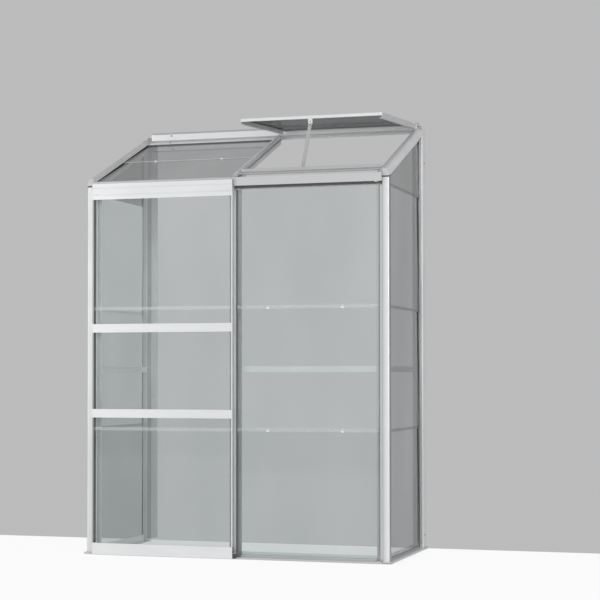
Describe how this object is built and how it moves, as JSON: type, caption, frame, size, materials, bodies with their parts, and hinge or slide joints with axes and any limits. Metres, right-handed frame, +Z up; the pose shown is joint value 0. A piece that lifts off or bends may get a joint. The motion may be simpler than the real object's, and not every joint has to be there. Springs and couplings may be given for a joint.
{
  "type": "lean to greenhouse",
  "caption": "Glazed lean-to greenhouse with an aluminium frame, a sliding door on wheels in one bay and a hinged roof vent on a perforated stay in the other.",
  "frame": {"origin": "on the ground, under the middle of the overall box at rest", "axes": "+X along the wall towards the bay with the roof vent, +Y towards the wall, +Z up; the front with the sliding door faces -Y"},
  "size_m": [1.336, 0.7214, 1.8769],
  "materials": {
    "bright_aluminium": "mill finish, softly brushed along the extrusion",
    "clear_glass": "clear, faintly green",
    "black_rubber": "matt",
    "black_nylon": "satin",
    "grey_plastic": "satin",
    "spring_steel": "plain",
    "steel_fixings": "zinc plated"
  },
  "bodies": {
    "frame": {"front_sill": "bright_aluminium", "side_sill_left": "bright_aluminium", "side_sill_right": "bright_aluminium", "corner_post_left": "bright_aluminium", "corner_post_right": "bright_aluminium", "wall_post_left": "bright_aluminium", "wall_post_right": "bright_aluminium", "centre_post": "bright_aluminium", "eaves_beam": "bright_aluminium", "ridge_bar": "bright_aluminium", "end_rafter_left": "bright_aluminium", "end_rafter_right": "bright_aluminium", "centre_rafter": "bright_aluminium", "vent_sill": "bright_aluminium", "front_mid_bar": "bright_aluminium", "side_mid_bar_left": "bright_aluminium", "side_mid_bar_right": "bright_aluminium", "front_pane_lower": "clear_glass", "front_pane_middle": "clear_glass", "front_pane_upper": "clear_glass", "side_pane_lower_left": "clear_glass", "side_pane_middle_left": "clear_glass", "side_pane_upper_left": "clear_glass", "side_pane_lower_right": "clear_glass", "side_pane_middle_right": "clear_glass", "side_pane_upper_right": "clear_glass", "gable_pane_left": "clear_glass", "gable_pane_right": "clear_glass", "roof_pane_lower": "clear_glass", "roof_pane_upper": "clear_glass", "glazing_strips": "black_rubber", "lap_clips": "spring_steel", "frame_bolts": "steel_fixings", "post_end_caps": "grey_plastic", "door_stop": "bright_aluminium", "stay_peg": "bright_aluminium"},
    "door": {"door_top_rail": "bright_aluminium", "door_stile_left": "bright_aluminium", "door_stile_right": "bright_aluminium", "door_rail_upper": "bright_aluminium", "door_rail_lower": "bright_aluminium", "door_bottom_rail": "bright_aluminium", "door_pane_upper": "clear_glass", "door_pane_middle": "clear_glass", "door_pane_lower": "clear_glass", "door_glazing_strips": "black_rubber", "door_screws": "steel_fixings", "door_top_guides": "black_nylon", "door_wheel_carriers": "black_nylon", "door_wheel_axles": "steel_fixings"},
    "left_wheel": {"door_wheel_left": "grey_plastic"},
    "right_wheel": {"door_wheel_right": "grey_plastic"},
    "vent": {"vent_hinge_bar": "bright_aluminium", "vent_side_bar_left": "bright_aluminium", "vent_side_bar_right": "bright_aluminium", "vent_front_bar": "bright_aluminium", "vent_pane": "clear_glass", "stay_bracket": "bright_aluminium", "stay_bolt": "steel_fixings"},
    "stay": {"stay_arm": "bright_aluminium"}
  },
  "joints": [
    {"name": "door_slide", "type": "slide", "parent": "frame", "child": "door", "axis": [1, 0, 0], "range_m": [0, 0.605]},
    {"name": "left_wheel_spin", "type": "hinge", "parent": "door", "child": "left_wheel", "pos_m": [-0.564, -0.34125, 0.01675], "axis": [0, 1, 0], "continuous": true},
    {"name": "right_wheel_spin", "type": "hinge", "parent": "door", "child": "right_wheel", "pos_m": [0.003, -0.34125, 0.01675], "axis": [0, 1, 0], "continuous": true},
    {"name": "vent_hinge", "type": "hinge", "parent": "frame", "child": "vent", "pos_m": [0, 0.32575, 1.871], "axis": [-1, 0, 0], "range_deg": [-17.5, 3]},
    {"name": "stay_pivot", "type": "hinge", "parent": "vent", "child": "stay", "pos_m": [0.323, -0.30424, 1.80241], "axis": [0, 0.9706, 0.2405], "range_deg": [-17, 71]}
  ],
  "couplings": [
    {"joint": "left_wheel_spin", "follows": "door_slide", "rad_per_m": 117.65},
    {"joint": "right_wheel_spin", "follows": "door_slide", "rad_per_m": 117.65}
  ]
}
